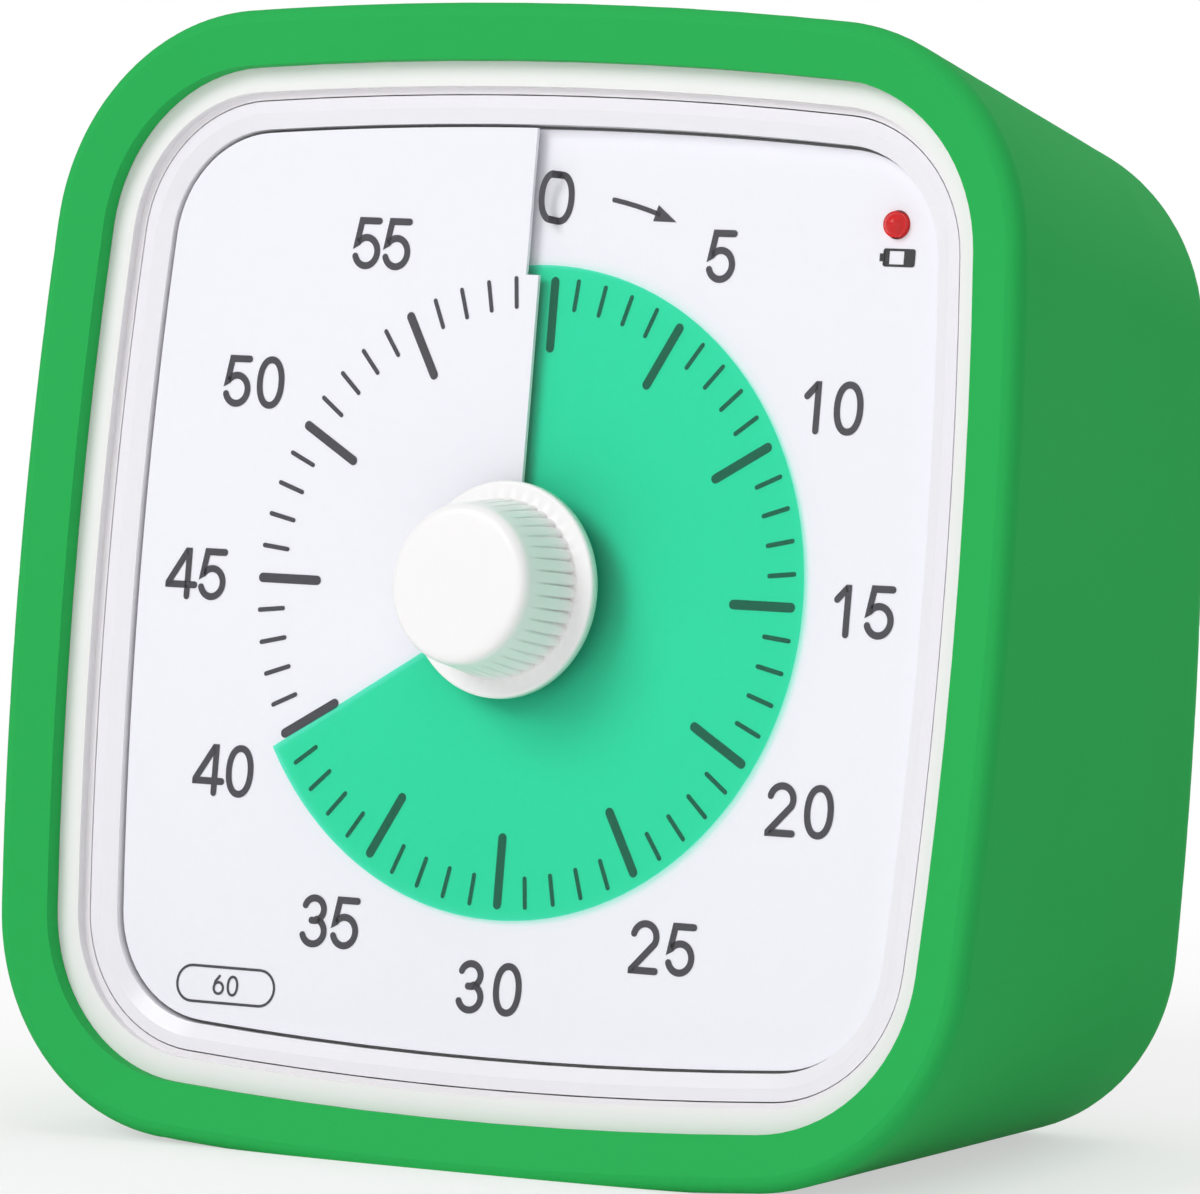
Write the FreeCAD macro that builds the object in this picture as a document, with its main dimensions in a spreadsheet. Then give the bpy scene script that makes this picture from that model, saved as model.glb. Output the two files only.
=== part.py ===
"""Visual countdown timer, 60 minutes: a square face with bowed sides in a rubber cover.

Every piece is drawn in the frame of its own face: X to the right, depth along +Y from
the cover's front rim, rise along Z from the dial's axis. PLACE then leans the timer back
on its foot: the origin is the middle of the foot, the face looks along -Y and +Z is up.
The back stands more upright than the face, so pieces of the back are turned by TILT first.
"""
import FreeCAD, Part
import Sketcher
import math
import os
import re

V = FreeCAD.Vector
doc = FreeCAD.newDocument("countdown_timer")
sheet = doc.addObject("Spreadsheet::Sheet", "Dims")

# Driving dimensions in millimetres and degrees. Depths are measured from the cover's front rim.
DIMENSIONS = [
    # Cover
    ("cover_half", 42.5), ("cover_depth", 39.6), ("lean", 8.0), ("back_tilt", 5.4), ("side_radius", 350.0),
    ("corner_radius", 17.2), ("corner_draw", 0.07), ("cover_wall", 2.5), ("cover_front_round", 1.2),
    ("cover_back_round", 3.0), ("foot_flat", 0.6), ("ring_dish", 0.8), ("window_half", 38.2),
    ("back_window_half", 31.0), ("cover_gap", 0.05),
    # Case
    ("bezel_depth", 2.2), ("bezel_half", 36.4), ("collar_half", 35.9), ("collar_end", 6.0),
    ("shell_wall", 2.0), ("split_depth", 24.5), ("lip_length", 1.6), ("lip_wall", 0.9), ("fit_gap", 0.1),
    # Window and dial
    ("lens_wall", 0.75), ("lens_hole", 4.7), ("ring_outer_half", 35.8), ("ring_inner_half", 33.8),
    ("dial_middle", 4.3), ("dial_wall", 0.3), ("dial_half", 33.55), ("dial_hole", 4.7),
    ("climb", 1.0), ("notch_radius", 22.9), ("slit_left", 0.5), ("notch_left", 1.6), ("underlap", 12.0),
    # Disc
    ("disc_radius", 23.7), ("disc_wall", 0.15), ("set_angle", 240.0), ("disc_end_gap", 1.3),
    ("hub_radius", 4.0), ("hub_length", 1.6), ("hub_bore", 1.56), ("key_width", 0.8), ("key_radius", 2.1),
    ("key_gap", 0.06),
    # Knob and shaft
    ("knob_front", 4.6), ("flange_radius", 7.85), ("flange_front", 1.1), ("flange_back", 1.95),
    ("knob_tip_radius", 5.85), ("knob_root_radius", 6.55), ("knob_edge_round", 0.45), ("groove_radius", 0.4),
    ("groove_count", 40.0), ("socket_front", 2.6), ("shaft_radius", 1.5), ("shaft_end", 20.0),
    # Carrier and movement
    ("carrier_half", 36.6), ("carrier_wall", 1.4), ("post_radius", 1.2), ("post_place", 30.0),
    ("plate_side", 42.0), ("plate_wall", 1.2), ("front_plate", 8.4), ("rear_plate", 17.2),
    ("pillar_place", 17.5), ("pillar_radius", 2.0), ("screw_radius", 1.1), ("screw_gap", 0.05),
    ("head_radius", 2.0), ("head_wall", 1.2), ("bush_radius", 2.6), ("running_gap", 0.06),
    ("gear_module", 0.3), ("wheel_wall", 0.8), ("pinion_length", 1.8), ("pinion_teeth", 8.0),
    ("centre_teeth", 60.0), ("third_teeth", 50.0), ("fourth_teeth", 48.0), ("arbor_radius", 0.45),
    ("centre_depth", 14.2), ("third_depth", 12.2), ("fourth_depth", 10.2), ("third_angle", 205.0),
    ("fourth_angle", 100.0), ("rotor_angle", 40.0), ("magnet_radius", 2.4), ("magnet_length", 1.6),
    ("stator_wall", 0.6), ("coil_radius", 2.3), ("coil_length", 11.0), ("bobbin_wall", 0.6), ("core_radius", 0.9),
    # Electronics
    ("board_depth", 27.6), ("board_wall", 1.2), ("board_width", 44.0), ("board_height", 12.0),
    ("board_rise", 18.6), ("buzzer_x", -15.0), ("buzzer_rise", 2.0), ("buzzer_radius", 8.0),
    ("buzzer_wall", 3.4), ("switch_x", 13.0), ("switch_length", 9.0), ("switch_height", 4.4),
    ("button_width", 3.0), ("button_height", 2.2), ("button_travel", 2.0), ("led_x", 28.75),
    ("led_rise", 27.44), ("led_radius", 0.92), ("led_length", 3.2), ("lead_radius", 0.25), ("wire_radius", 0.45),
    # Battery bay
    ("cell_radius", 7.1), ("cell_length", 49.2), ("nub_radius", 2.7), ("nub_length", 1.3), ("bay_rise", -16.5),
    ("bay_length", 58.0), ("bay_height", 15.4), ("bay_wall", 1.2), ("cell_depth", 27.5), ("door_length", 58.4),
    ("spring_wire", 0.3), ("spring_radius", 4.2), ("spring_taper", 0.08),
    ("door_height", 18.4), ("door_wall", 1.5), ("door_gap", 0.25), ("stub_radius", 0.45), ("stub_length", 0.9),
    ("boss_high_x", 25.0), ("boss_high", 24.0), ("boss_low_x", 19.5), ("boss_low", -29.0), ("boss_radius", 2.9),
]
for row, (alias, value) in enumerate(DIMENSIONS, start=1):
    sheet.set(f"A{row}", alias)
    sheet.set(f"B{row}", str(value))
    sheet.setAlias(f"B{row}", alias)
doc.recompute()
D = {alias: float(sheet.get(alias)) for alias, _ in DIMENSIONS}
ALIASES = re.compile(r"\b(" + "|".join(sorted(D, key=len, reverse=True)) + r")\b")
SUBPARTS = []
ALONG_DEPTH = FreeCAD.Rotation(V(1, 0, 0), -90)
ALONG_X = FreeCAD.Rotation(V(0, 1, 0), 90)
LEAN = math.radians(D["lean"])
FOOT_BACK = ((D["cover_depth"] + D["cover_half"] * math.tan(math.radians(D["back_tilt"])))
             / (1 + math.tan(LEAN) * math.tan(math.radians(D["back_tilt"]))))
FOOT_LENGTH = ("(cover_depth + cover_half * tan(back_tilt)) / (1 + tan(lean) * tan(back_tilt))"
               " / cos(lean)")
PLACE = FreeCAD.Placement(
    V(0, D["cover_half"] * math.sin(LEAN) - FOOT_BACK / (2 * math.cos(LEAN)),
      D["cover_half"] * math.cos(LEAN) - D["foot_flat"]),
    FreeCAD.Rotation(V(-1, 0, 0), D["lean"]),
)
BACK_TURN = math.radians(D["back_tilt"])
TILT = FreeCAD.Placement(
    V(0, D["cover_depth"] * (1 - math.cos(BACK_TURN)), -D["cover_depth"] * math.sin(BACK_TURN)),
    FreeCAD.Rotation(V(1, 0, 0), D["back_tilt"]),
)


def bind(item, name, expression):
    """Ties one property to the sheet."""
    item.setExpression(name, ALIASES.sub(r"Dims.\1", expression))


def place(item, x="0", depth="0", rise="0", turn=None):
    """Puts an item at x, depth and rise in the frame of the face."""
    if turn is not None:
        item.Placement = FreeCAD.Placement(V(0, 0, 0), turn)
    bind(item, "Placement.Base.x", x)
    bind(item, "Placement.Base.y", depth)
    bind(item, "Placement.Base.z", rise)
    return item


def keep(item, label):
    """Finishes a sub-part: its label, and its place on the leaning foot."""
    item.Label = label
    item.Placement = PLACE
    bind(item, "Placement.Rotation.Angle", "lean")
    bind(item, "Placement.Base.y", f"cover_half * sin(lean) - {FOOT_LENGTH} / 2")
    bind(item, "Placement.Base.z", "cover_half * cos(lean) - foot_flat")
    SUBPARTS.append(item)
    return item


def keep_back(item, label):
    """Finishes a sub-part of the back, which is turned to the back's own slope."""
    keep(item, label)
    item.Placement = PLACE.multiply(TILT)
    bind(item, "Placement.Rotation.Angle", "lean - back_tilt")
    bind(item, "Placement.Base.y", f"cover_half * sin(lean) - {FOOT_LENGTH} / 2"
         " + cover_depth * ((1 - cos(back_tilt)) * cos(lean) - sin(back_tilt) * sin(lean))")
    bind(item, "Placement.Base.z", "cover_half * cos(lean) - foot_flat"
         " - cover_depth * ((1 - cos(back_tilt)) * sin(lean) + sin(back_tilt) * cos(lean))")
    return item


def rod(name, radius, length, x="0", depth="0", rise="0", turn=ALONG_DEPTH):
    """A cylinder that starts at depth and runs back."""
    item = doc.addObject("Part::Cylinder", name)
    bind(item, "Radius", radius)
    bind(item, "Height", length)
    return place(item, x, depth, rise, turn)


def block(name, width, deep, height, x="0", depth="0", rise="0"):
    """A box centred on x and rise that starts at depth."""
    item = doc.addObject("Part::Box", name)
    bind(item, "Length", width)
    bind(item, "Width", deep)
    bind(item, "Height", height)
    return place(item, f"{x} - ({width}) / 2", depth, f"{rise} - ({height}) / 2")


def plate(name, width, height, wall, x="0", depth="0", rise="0"):
    """A rectangular plate as a body: one sketch and one pad."""
    body = doc.addObject("PartDesign::Body", name)
    sketch = body.newObject("Sketcher::SketchObject", name + "_outline")
    base = next(plane for plane in body.Origin.OriginFeatures if plane.Role == "XY_Plane")
    sketch.AttachmentSupport = (base, "")
    sketch.MapMode = "FlatFace"
    corners = [V(-5, -5, 0), V(5, -5, 0), V(5, 5, 0), V(-5, 5, 0)]
    for first in range(4):
        sketch.addGeometry(Part.LineSegment(corners[first], corners[(first + 1) % 4]))
    for first in range(4):
        sketch.addConstraint(Sketcher.Constraint("Coincident", first, 2, (first + 1) % 4, 1))
    for line in (0, 2):
        sketch.addConstraint(Sketcher.Constraint("Horizontal", line))
    for line in (1, 3):
        sketch.addConstraint(Sketcher.Constraint("Vertical", line))
    sketch.addConstraint(Sketcher.Constraint("Symmetric", 0, 1, 1, 2, -1, 1))
    for axis, line, size in (("X", 0, width), ("Y", 1, height)):
        number = sketch.addConstraint(Sketcher.Constraint("Distance" + axis, line, 1, line, 2, 10.0))
        bind(sketch, f"Constraints[{number}]", size)
    pad = body.newObject("PartDesign::Pad", name + "_pad")
    pad.Profile = sketch
    bind(pad, "Length", wall)
    return place(body, x, depth, rise, ALONG_DEPTH)


def cut(name, base, tool):
    """Base less tool."""
    item = doc.addObject("Part::Cut", name)
    item.Base, item.Tool = base, tool
    return item


def fuse(name, items):
    """All items as one solid."""
    item = doc.addObject("Part::MultiFuse", name)
    item.Shapes = items
    return item


def group(name, items):
    """Separate solids that share a node."""
    item = doc.addObject("Part::Compound", name)
    item.Links = items
    return item


def feature(name, shape):
    """A shape worked out with Part's own functions."""
    item = doc.addObject("Part::Feature", name)
    item.Shape = shape
    return item


def outline(half, corner, depth):
    """A square of bowed sides and round corners, square to the depth, as eight tangent arcs."""
    side = D["side_radius"]
    lift = side - half
    centre = (-lift + math.sqrt(2.0 * (side - corner) ** 2 - lift ** 2)) / 2.0
    lean = math.atan2(centre, centre + lift)
    edges = []
    for quarter in range(4):
        turn = quarter * math.pi / 2

        def point(x, z):
            return V(x * math.cos(turn) + z * math.sin(turn), depth, z * math.cos(turn) - x * math.sin(turn))

        def on_side(angle):
            return point(side * math.sin(angle), side * math.cos(angle) - lift)

        def on_corner(angle):
            return point(centre + corner * math.sin(angle), centre + corner * math.cos(angle))

        edges.append(Part.Arc(on_side(-lean), on_side(0), on_side(lean)).toShape())
        edges.append(Part.Arc(on_corner(lean), on_corner(math.pi / 4), on_corner(math.pi / 2 - lean)).toShape())
    return Part.Wire(edges)


def tapered(inset, start, stop):
    """The body of the case, inset from the cover's skin, from one depth to another."""
    wires = []
    for depth in (start, stop):
        half = D["cover_half"] - math.tan(LEAN) * depth - inset
        corner = D["corner_radius"] - D["corner_draw"] * depth - inset
        wires.append(outline(half, corner, depth))
    return Part.makeLoft(wires, True, True)


def opening(half, start, stop, end_half=None):
    """A block whose outline is inset evenly from the cover's front rim."""
    wires = []
    for size, depth in ((half, start), (end_half or half, stop)):
        wires.append(outline(size, D["corner_radius"] - (D["cover_half"] - size), depth))
    return Part.makeLoft(wires, True, True)


def rounded(shape, radius, depth, frame=FreeCAD.Placement()):
    """The shape with the edges at one depth of a frame rounded."""
    edges = []
    for edge in shape.Edges:
        points = [vertex.Point for vertex in edge.Vertexes] + [edge.CenterOfMass]
        if all(abs(frame.inverse().multVec(point).y - depth) < 1e-3 for point in points):
            edges.append(edge)
    return shape.makeFillet(radius, edges)


def turned(shape):
    """The shape in the frame of the back."""
    shape.Placement = TILT
    return shape


def ended(inset, start, stop):
    """The body of the case from one depth to a back that slopes as the back does."""
    beyond = turned(Part.makeBox(200, 100, 200, V(-100, stop, -100)))
    return tapered(inset, start, D["cover_depth"] + 10.0).cut(beyond)


def helicoid(inner, outer, wall, first, last, rise_at, steps):
    """A thin screw surface between two radii. Angles run clockwise from the top, seen from the front."""
    wires = []
    for step in range(steps + 1):
        angle = math.radians(first + (last - first) * step / steps)
        middle = rise_at(math.degrees(angle))
        corners = []
        for radius, side in ((inner, -0.5), (outer, -0.5), (outer, 0.5), (inner, 0.5)):
            corners.append(V(radius * math.sin(angle), middle + side * wall, radius * math.cos(angle)))
        wires.append(Part.makePolygon(corners + [corners[0]]))
    return Part.makeLoft(wires, True, False)


def gear(teeth, wall, phase):
    """A toothed wheel about the depth axis, from depth 0. Its first tooth stands at the phase angle."""
    module = D["gear_module"]
    pitch = module * teeth / 2
    step = 2 * math.pi / teeth
    points = []
    for tooth in range(int(teeth)):
        middle = phase + tooth * step
        for radius, share in ((pitch - 1.1 * module, -0.32), (pitch, -0.2), (pitch + 0.75 * module, -0.08),
                              (pitch + 0.75 * module, 0.08), (pitch, 0.2), (pitch - 1.1 * module, 0.32)):
            angle = middle + share * step
            points.append(V(radius * math.cos(angle), 0, radius * math.sin(angle)))
    return Part.Face(Part.makePolygon(points + [points[0]])).extrude(V(0, wall, 0))


def stub(radius, start, stop, x=0.0, rise=0.0):
    """A plain cylinder along the depth."""
    return Part.makeCylinder(radius, stop - start, V(x, start, rise), V(0, 1, 0))


# Rubber cover: a tapered skin with a dished front ring and an open back
skin = rounded(ended(0.0, 0.0, D["cover_depth"]), D["cover_back_round"], D["cover_depth"], TILT)
skin = rounded(skin, D["cover_front_round"], 0.0)
cavity = ended(D["cover_wall"], D["bezel_depth"] - D["cover_gap"], D["cover_depth"] - D["cover_wall"])
dish = opening(D["cover_half"] - D["cover_front_round"], -0.01, D["ring_dish"], D["window_half"])
front_window = opening(D["window_half"], 0.0, D["bezel_depth"] + 1.0)
back_window = turned(opening(D["back_window_half"], D["cover_depth"] - 5.0, D["cover_depth"] + 1.0))
ground = Part.makeBox(200, 200, 50, V(-100, -100, -50))
ground.Placement = PLACE.inverse()
cover = skin.cut(cavity).cut(dish).cut(front_window).cut(back_window).cut(ground)
keep(feature("silicone_cover", cover), "silicone_cover")

# Front housing: the white bezel, its collar and the front part of the case
skin_inset = D["cover_wall"] + D["cover_gap"]
inner_inset = skin_inset + D["shell_wall"]
front_end = D["split_depth"]
front_case = tapered(skin_inset, D["bezel_depth"], front_end)
front_case = front_case.cut(tapered(inner_inset, D["collar_end"], front_end + 0.001))
front_case = front_case.cut(opening(D["bezel_half"], D["bezel_depth"] - 1.0, D["bezel_depth"] + D["lens_wall"] + 0.05))
front_case = front_case.cut(opening(D["collar_half"], D["bezel_depth"], D["collar_end"] + 0.5))
keep(feature("front_housing", front_case), "front_housing")

# Rear housing: back wall, spigot into the front housing, battery bay, screw bosses
back_face = D["cover_depth"] - D["cover_wall"]
rear_case = ended(skin_inset, front_end + 0.02, back_face - 0.02)
spigot_inset = inner_inset + D["fit_gap"]
rear_case = rear_case.fuse(tapered(spigot_inset, front_end - D["lip_length"], front_end + 1.0))
rear_case = rear_case.cut(tapered(spigot_inset + D["lip_wall"], front_end - 5.0, front_end + 2.5))
rear_case = rear_case.cut(ended(inner_inset, front_end + 2.0, back_face - D["shell_wall"]))
bay_front = D["cell_depth"] - D["cell_radius"] - 0.4
box_width = D["bay_length"] + 2 * D["bay_wall"]
box_height = D["bay_height"] + 2 * D["bay_wall"]
bay_box = Part.makeBox(box_width, back_face - 0.5 - bay_front + D["bay_wall"], box_height,
                       V(-box_width / 2, bay_front - D["bay_wall"], D["bay_rise"] - box_height / 2))
bay_hollow = Part.makeBox(D["bay_length"], 60, D["bay_height"],
                          V(-D["bay_length"] / 2, bay_front, D["bay_rise"] - D["bay_height"] / 2))
inside = ended(inner_inset - 0.5, 5.0, back_face - 0.1)
bay_box = turned(bay_box).common(inside)
BOSSES = [(side * D[x], D[rise]) for x, rise in (("boss_high_x", "boss_high"), ("boss_low_x", "boss_low"))
          for side in (-1, 1)]
posts = []
for x, rise in BOSSES:
    posts.append(turned(stub(D["boss_radius"], front_end + 3.2, back_face - 1.0, x, rise)).common(inside))
rear_case = rear_case.fuse([bay_box] + posts)
recess_width = D["door_length"] + 2 * D["door_gap"]
recess_height = D["door_height"] + 2 * D["door_gap"]
recess = Part.makeBox(recess_width, 10, recess_height,
                      V(-recess_width / 2, back_face - D["door_wall"] - 0.02, D["bay_rise"] - recess_height / 2))
hinge_rise = D["bay_rise"] - D["door_height"] / 2 + D["door_wall"] / 2
hinge_depth = back_face - 0.02 - D["door_wall"] / 2
hinge_hole = Part.makeCylinder(D["stub_radius"] + D["running_gap"], recess_width + 2 * D["stub_length"],
                               V(-recess_width / 2 - D["stub_length"], hinge_depth, hinge_rise), V(1, 0, 0))
tools = [bay_hollow, recess, hinge_hole]
for x, rise in BOSSES:
    tools.append(stub(D["screw_radius"] + D["screw_gap"], front_end - 1.0, back_face + 1.0, x, rise))
    tools.append(stub(D["head_radius"] + 0.15, back_face - D["head_wall"] - 0.1, back_face + 1.0, x, rise))
for row in (-2, -1, 0, 1, 2):
    reach = math.sqrt(6.0 ** 2 - (2.0 * row) ** 2)
    tools.append(Part.makeBox(2 * reach, 10, 1.0,
                              V(D["buzzer_x"] - reach, back_face - 5.0, D["buzzer_rise"] + 2.0 * row - 0.5)))
slot_width = D["button_width"] + 2 * D["button_travel"] + 0.6
slot_height = D["button_height"] + 0.6
tools.append(Part.makeBox(slot_width, 10, slot_height,
                          V(D["switch_x"] - slot_width / 2, back_face - 5.0, D["board_rise"] - slot_height / 2)))
for tool in tools:
    rear_case = rear_case.cut(turned(tool))
keep(feature("rear_housing", rear_case), "rear_housing")


# Window, dial ring and dial
lens = opening(D["bezel_half"] - D["fit_gap"], D["bezel_depth"] + 0.02, D["bezel_depth"] + D["lens_wall"] + 0.02)
lens = lens.cut(stub(D["lens_hole"], 0.0, 10.0))
keep(feature("lens", lens), "lens")

ring_front = D["bezel_depth"] + D["lens_wall"] + 0.07
dial_ring = opening(D["ring_outer_half"], ring_front, D["collar_end"])
dial_ring = dial_ring.cut(opening(D["ring_inner_half"], ring_front - 1.0, D["collar_end"] + 1.0))
dial_ring = dial_ring.cut(opening(D["ring_inner_half"] + 1.1, ring_front - 0.01, ring_front + 0.5,
                                  D["ring_inner_half"] + 0.01))
keep(feature("dial_ring", dial_ring), "dial_ring")


def dial_depth(angle):
    """Depth of the dial's middle surface: its left side overlaps its right side at the top, in front."""
    return D["dial_middle"] - D["climb"] * (angle / 360.0 - 0.5)


def disc_depth(angle):
    """Depth of the disc's middle surface, half a climb from the dial at every angle."""
    return D["dial_middle"] - D["climb"] * angle / 360.0


dial = helicoid(D["dial_hole"], 50.0, D["dial_wall"], -D["underlap"], 359.9, dial_depth, 50)
dial = dial.common(opening(D["dial_half"], 0.0, 10.0))
reach = D["notch_radius"]
for left, low, tall in (("slit_left", 0.0, reach), ("notch_left", reach, 60.0)):
    dial = dial.cut(Part.makeBox(D[left] + 1.0, D["dial_middle"], tall, V(-D[left], 0, low)))
dial = dial.cut(stub(D["led_radius"] + 0.12, 0.0, 20.0, D["led_x"], D["led_rise"]))
keep(feature("dial_plate", dial), "dial_plate")

# Countdown disc and its sliding hub
disc_start = D["set_angle"] - 360.0 + D["disc_end_gap"]
disc = helicoid(D["hub_radius"], D["disc_radius"], D["disc_wall"], disc_start,
                D["set_angle"] - D["disc_end_gap"], disc_depth, 48)
keep(feature("countdown_disc", disc), "countdown_disc")
hub = rod("hub_round", "hub_radius", "hub_length",
          depth="dial_middle - climb * (set_angle / 360 - 0.5) - hub_length / 2")
hub_bore = rod("hub_bore_round", "hub_bore", "20", depth="0")
hub_slot = block("hub_slot", "key_width + 2 * key_gap", "20", "key_radius + key_gap", rise="(key_radius + key_gap) / 2")
keep(cut("disc_hub_cut", hub, fuse("hub_tools", [hub_bore, hub_slot])), "disc_hub")

# Knob: a tapered grip whose grooves deepen towards its flange
front = -D["knob_front"]
edge = D["knob_edge_round"]
tip = D["knob_tip_radius"]
grip = Part.Wire([
    Part.makeLine(V(0, front, 0), V(tip - edge, front, 0)),
    Part.Arc(V(tip - edge, front, 0), V(tip - 0.293 * edge, front + 0.293 * edge, 0), V(tip, front + edge, 0)).toShape(),
    Part.makeLine(V(tip, front + edge, 0), V(D["knob_root_radius"], D["flange_front"], 0)),
    Part.makeLine(V(D["knob_root_radius"], D["flange_front"], 0), V(0, D["flange_front"], 0)),
    Part.makeLine(V(0, D["flange_front"], 0), V(0, front, 0)),
])
grip = Part.Face(grip).revolve(V(0, 0, 0), V(0, 1, 0), 360)
grooves = []
groove_tall = D["flange_front"] - front - edge
for number in range(int(D["groove_count"])):
    angle = 2 * math.pi * (number + 0.5) / D["groove_count"]
    groove = Part.makeCone(0.02, D["groove_radius"], groove_tall, V(tip + 0.02, front + edge, 0),
                           V(D["knob_root_radius"] - tip, groove_tall, 0))
    groove.rotate(V(0, 0, 0), V(0, 1, 0), math.degrees(angle))
    grooves.append(groove)
grip = grip.cut(Part.makeCompound(grooves))
flange = stub(D["flange_radius"], D["flange_front"], D["flange_back"])
flange = rounded(flange, 0.35, D["flange_front"])
knob_shape = grip.fuse(flange).removeSplitter()
knob_shape = knob_shape.cut(stub(D["shaft_radius"] + 0.02, D["flange_back"] - D["socket_front"] - 1.0, 10.0))
keep(feature("knob", knob_shape), "knob")

# Shaft with its key
shaft_start = "flange_back - socket_front - 0.9"
shaft_body = rod("shaft_round", "shaft_radius", f"shaft_end - ({shaft_start})", depth=shaft_start)
shaft_key = block("shaft_key", "key_width", "3.2", "key_radius", depth="2.6", rise="key_radius / 2")
keep(fuse("shaft_fuse", [shaft_body, shaft_key]), "knob_shaft")
retainer = cut("retainer_cut", rod("retainer_disc", "3.0", "0.5", depth="shaft_end - 0.7"),
               rod("retainer_bore", "shaft_radius + 0.01", "5", depth="shaft_end - 3"))
keep(retainer, "retaining_ring")

# Carrier plate with posts of rising height under the dial
carrier = opening(D["carrier_half"], D["collar_end"], D["collar_end"] + D["carrier_wall"])
supports = []
for number in range(8):
    degrees = 22.5 + 45.0 * number
    angle = math.radians(degrees)
    top = dial_depth(degrees) + D["dial_wall"] / 2 + 0.03
    supports.append(stub(D["post_radius"], top, D["collar_end"] + 0.5,
                         D["post_place"] * math.sin(angle), D["post_place"] * math.cos(angle)))
CORNERS = [(sx * D["pillar_place"], sz * D["pillar_place"]) for sx in (-1, 1) for sz in (-1, 1)]
carrier_back = D["collar_end"] + D["carrier_wall"]
for x, rise in CORNERS:
    supports.append(stub(3.0, carrier_back - 0.5, D["front_plate"], x, rise))
supports.append(stub(2.4, D["collar_end"] + 0.2, carrier_back + 3.0, D["led_x"], D["led_rise"]))
carrier = carrier.fuse(supports)
carrier = carrier.cut(stub(D["bush_radius"] + 0.02, 0.0, 30.0))
for x, rise in CORNERS:
    carrier = carrier.cut(stub(D["screw_radius"] + D["screw_gap"], D["collar_end"] + 0.6, 30.0, x, rise))
carrier = carrier.cut(stub(D["led_radius"] + 0.03, 0.0, 30.0, D["led_x"], D["led_rise"]))
keep(feature("dial_carrier", carrier), "dial_carrier")


# Gear train: each wheel meshes with the pinion of the next
def next_axis(start, driver, angle):
    """The axis of a pinion that meshes with a wheel."""
    reach = D["gear_module"] * (D[driver] + D["pinion_teeth"]) / 2 + 0.03
    turn = math.radians(D[angle])
    return start[0] + reach * math.cos(turn), start[1] + reach * math.sin(turn)


def meshed(driver, driver_phase, angle):
    """The phase at which a gap of the pinion faces a tooth of its driver."""
    turn = math.radians(D[angle])
    share = (turn - driver_phase) * D[driver] / (2 * math.pi)
    return turn + math.pi + (share + 0.5) * 2 * math.pi / D["pinion_teeth"]


def moved(shape, x, depth, rise):
    """The shape shifted into place."""
    shape.translate(V(x, depth, rise))
    return shape


def staff(axis):
    """A pivot that runs from plate to plate."""
    stop = D["rear_plate"] + D["plate_wall"] - 0.2
    return stub(D["arbor_radius"], D["front_plate"] + 0.2, stop, axis[0], axis[1])


THIRD = next_axis((0.0, 0.0), "centre_teeth", "third_angle")
FOURTH = next_axis(THIRD, "third_teeth", "fourth_angle")
ROTOR = next_axis(FOURTH, "fourth_teeth", "rotor_angle")
third_phase = meshed("centre_teeth", 0.0, "third_angle")
fourth_phase = meshed("third_teeth", third_phase, "fourth_angle")
rotor_phase = meshed("fourth_teeth", fourth_phase, "rotor_angle")

centre = moved(gear(D["centre_teeth"], D["wheel_wall"], 0.0), 0, D["centre_depth"], 0)
centre = centre.fuse(stub(3.0, D["centre_depth"] - 0.9, D["centre_depth"] + 1.4))
centre = centre.cut(stub(D["shaft_radius"] + D["running_gap"], 0.0, 30.0))
keep(feature("centre_wheel", centre), "centre_wheel")
washer_start = D["centre_depth"] + 1.45
washer = Part.makeCone(2.9, 2.2, 0.5, V(0, washer_start, 0), V(0, 1, 0))
washer = washer.fuse(stub(2.2, washer_start + 0.5, D["rear_plate"] - 0.75))
washer = washer.cut(Part.makeCone(2.6, 1.6, 0.35, V(0, washer_start, 0), V(0, 1, 0)))
keep(feature("clutch_spring", washer.cut(stub(D["shaft_radius"] + 0.005, 0.0, 30.0))), "clutch_spring")
for label, axis, teeth, phase, depth, mate in (
        ("third_wheel", THIRD, "third_teeth", third_phase, "third_depth", "centre_depth"),
        ("fourth_wheel", FOURTH, "fourth_teeth", fourth_phase, "fourth_depth", "third_depth")):
    wheel = moved(gear(D[teeth], D["wheel_wall"], phase), axis[0], D[depth], axis[1])
    pinion = moved(gear(D["pinion_teeth"], D["pinion_length"], phase), axis[0], D[mate] - 0.5, axis[1])
    neck = stub(0.8, D[depth], D[mate], axis[0], axis[1])
    keep(feature(label, wheel.fuse([pinion, neck, staff(axis)])), label)
rotor_pinion = moved(gear(D["pinion_teeth"], D["pinion_length"], rotor_phase),
                     ROTOR[0], D["fourth_depth"] - 0.5, ROTOR[1])
keep(feature("rotor_pinion", rotor_pinion.fuse(staff(ROTOR))), "rotor_pinion")
magnet_depth = D["fourth_depth"] + 2.0
magnet = stub(D["magnet_radius"], magnet_depth, magnet_depth + D["magnet_length"], ROTOR[0], ROTOR[1])
magnet = magnet.cut(stub(D["arbor_radius"] + 0.005, 0.0, 30.0, ROTOR[0], ROTOR[1]))
keep(feature("rotor_magnet", magnet), "rotor_magnet")

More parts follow.
